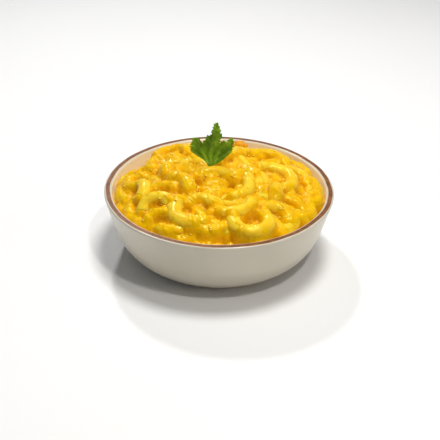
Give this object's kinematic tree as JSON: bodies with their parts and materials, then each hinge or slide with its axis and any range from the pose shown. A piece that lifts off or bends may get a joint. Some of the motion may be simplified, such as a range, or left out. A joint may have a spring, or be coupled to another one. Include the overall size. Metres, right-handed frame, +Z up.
{
  "type": "macaroni and cheese in a bowl",
  "caption": "Round bowl with sloping wall and low foot ring, heaped with curved macaroni in cheese sauce, with a parsley leaf standing in it.",
  "frame": {"origin": "centre of the bowl at the underside of its foot ring", "axes": "+Z up out of the bowl; -Y is the served side, which the parsley leaf faces; +X to the right seen from that side"},
  "size_m": [0.15, 0.15, 0.0896],
  "materials": {
    "bowl_glaze": "gloss",
    "mac_and_cheese": "gloss",
    "parsley": "satin"
  },
  "bodies": {
    "root": {"bowl": "bowl_glaze", "mac_and_cheese": "mac_and_cheese", "parsley": "parsley"}
  },
  "joints": []
}
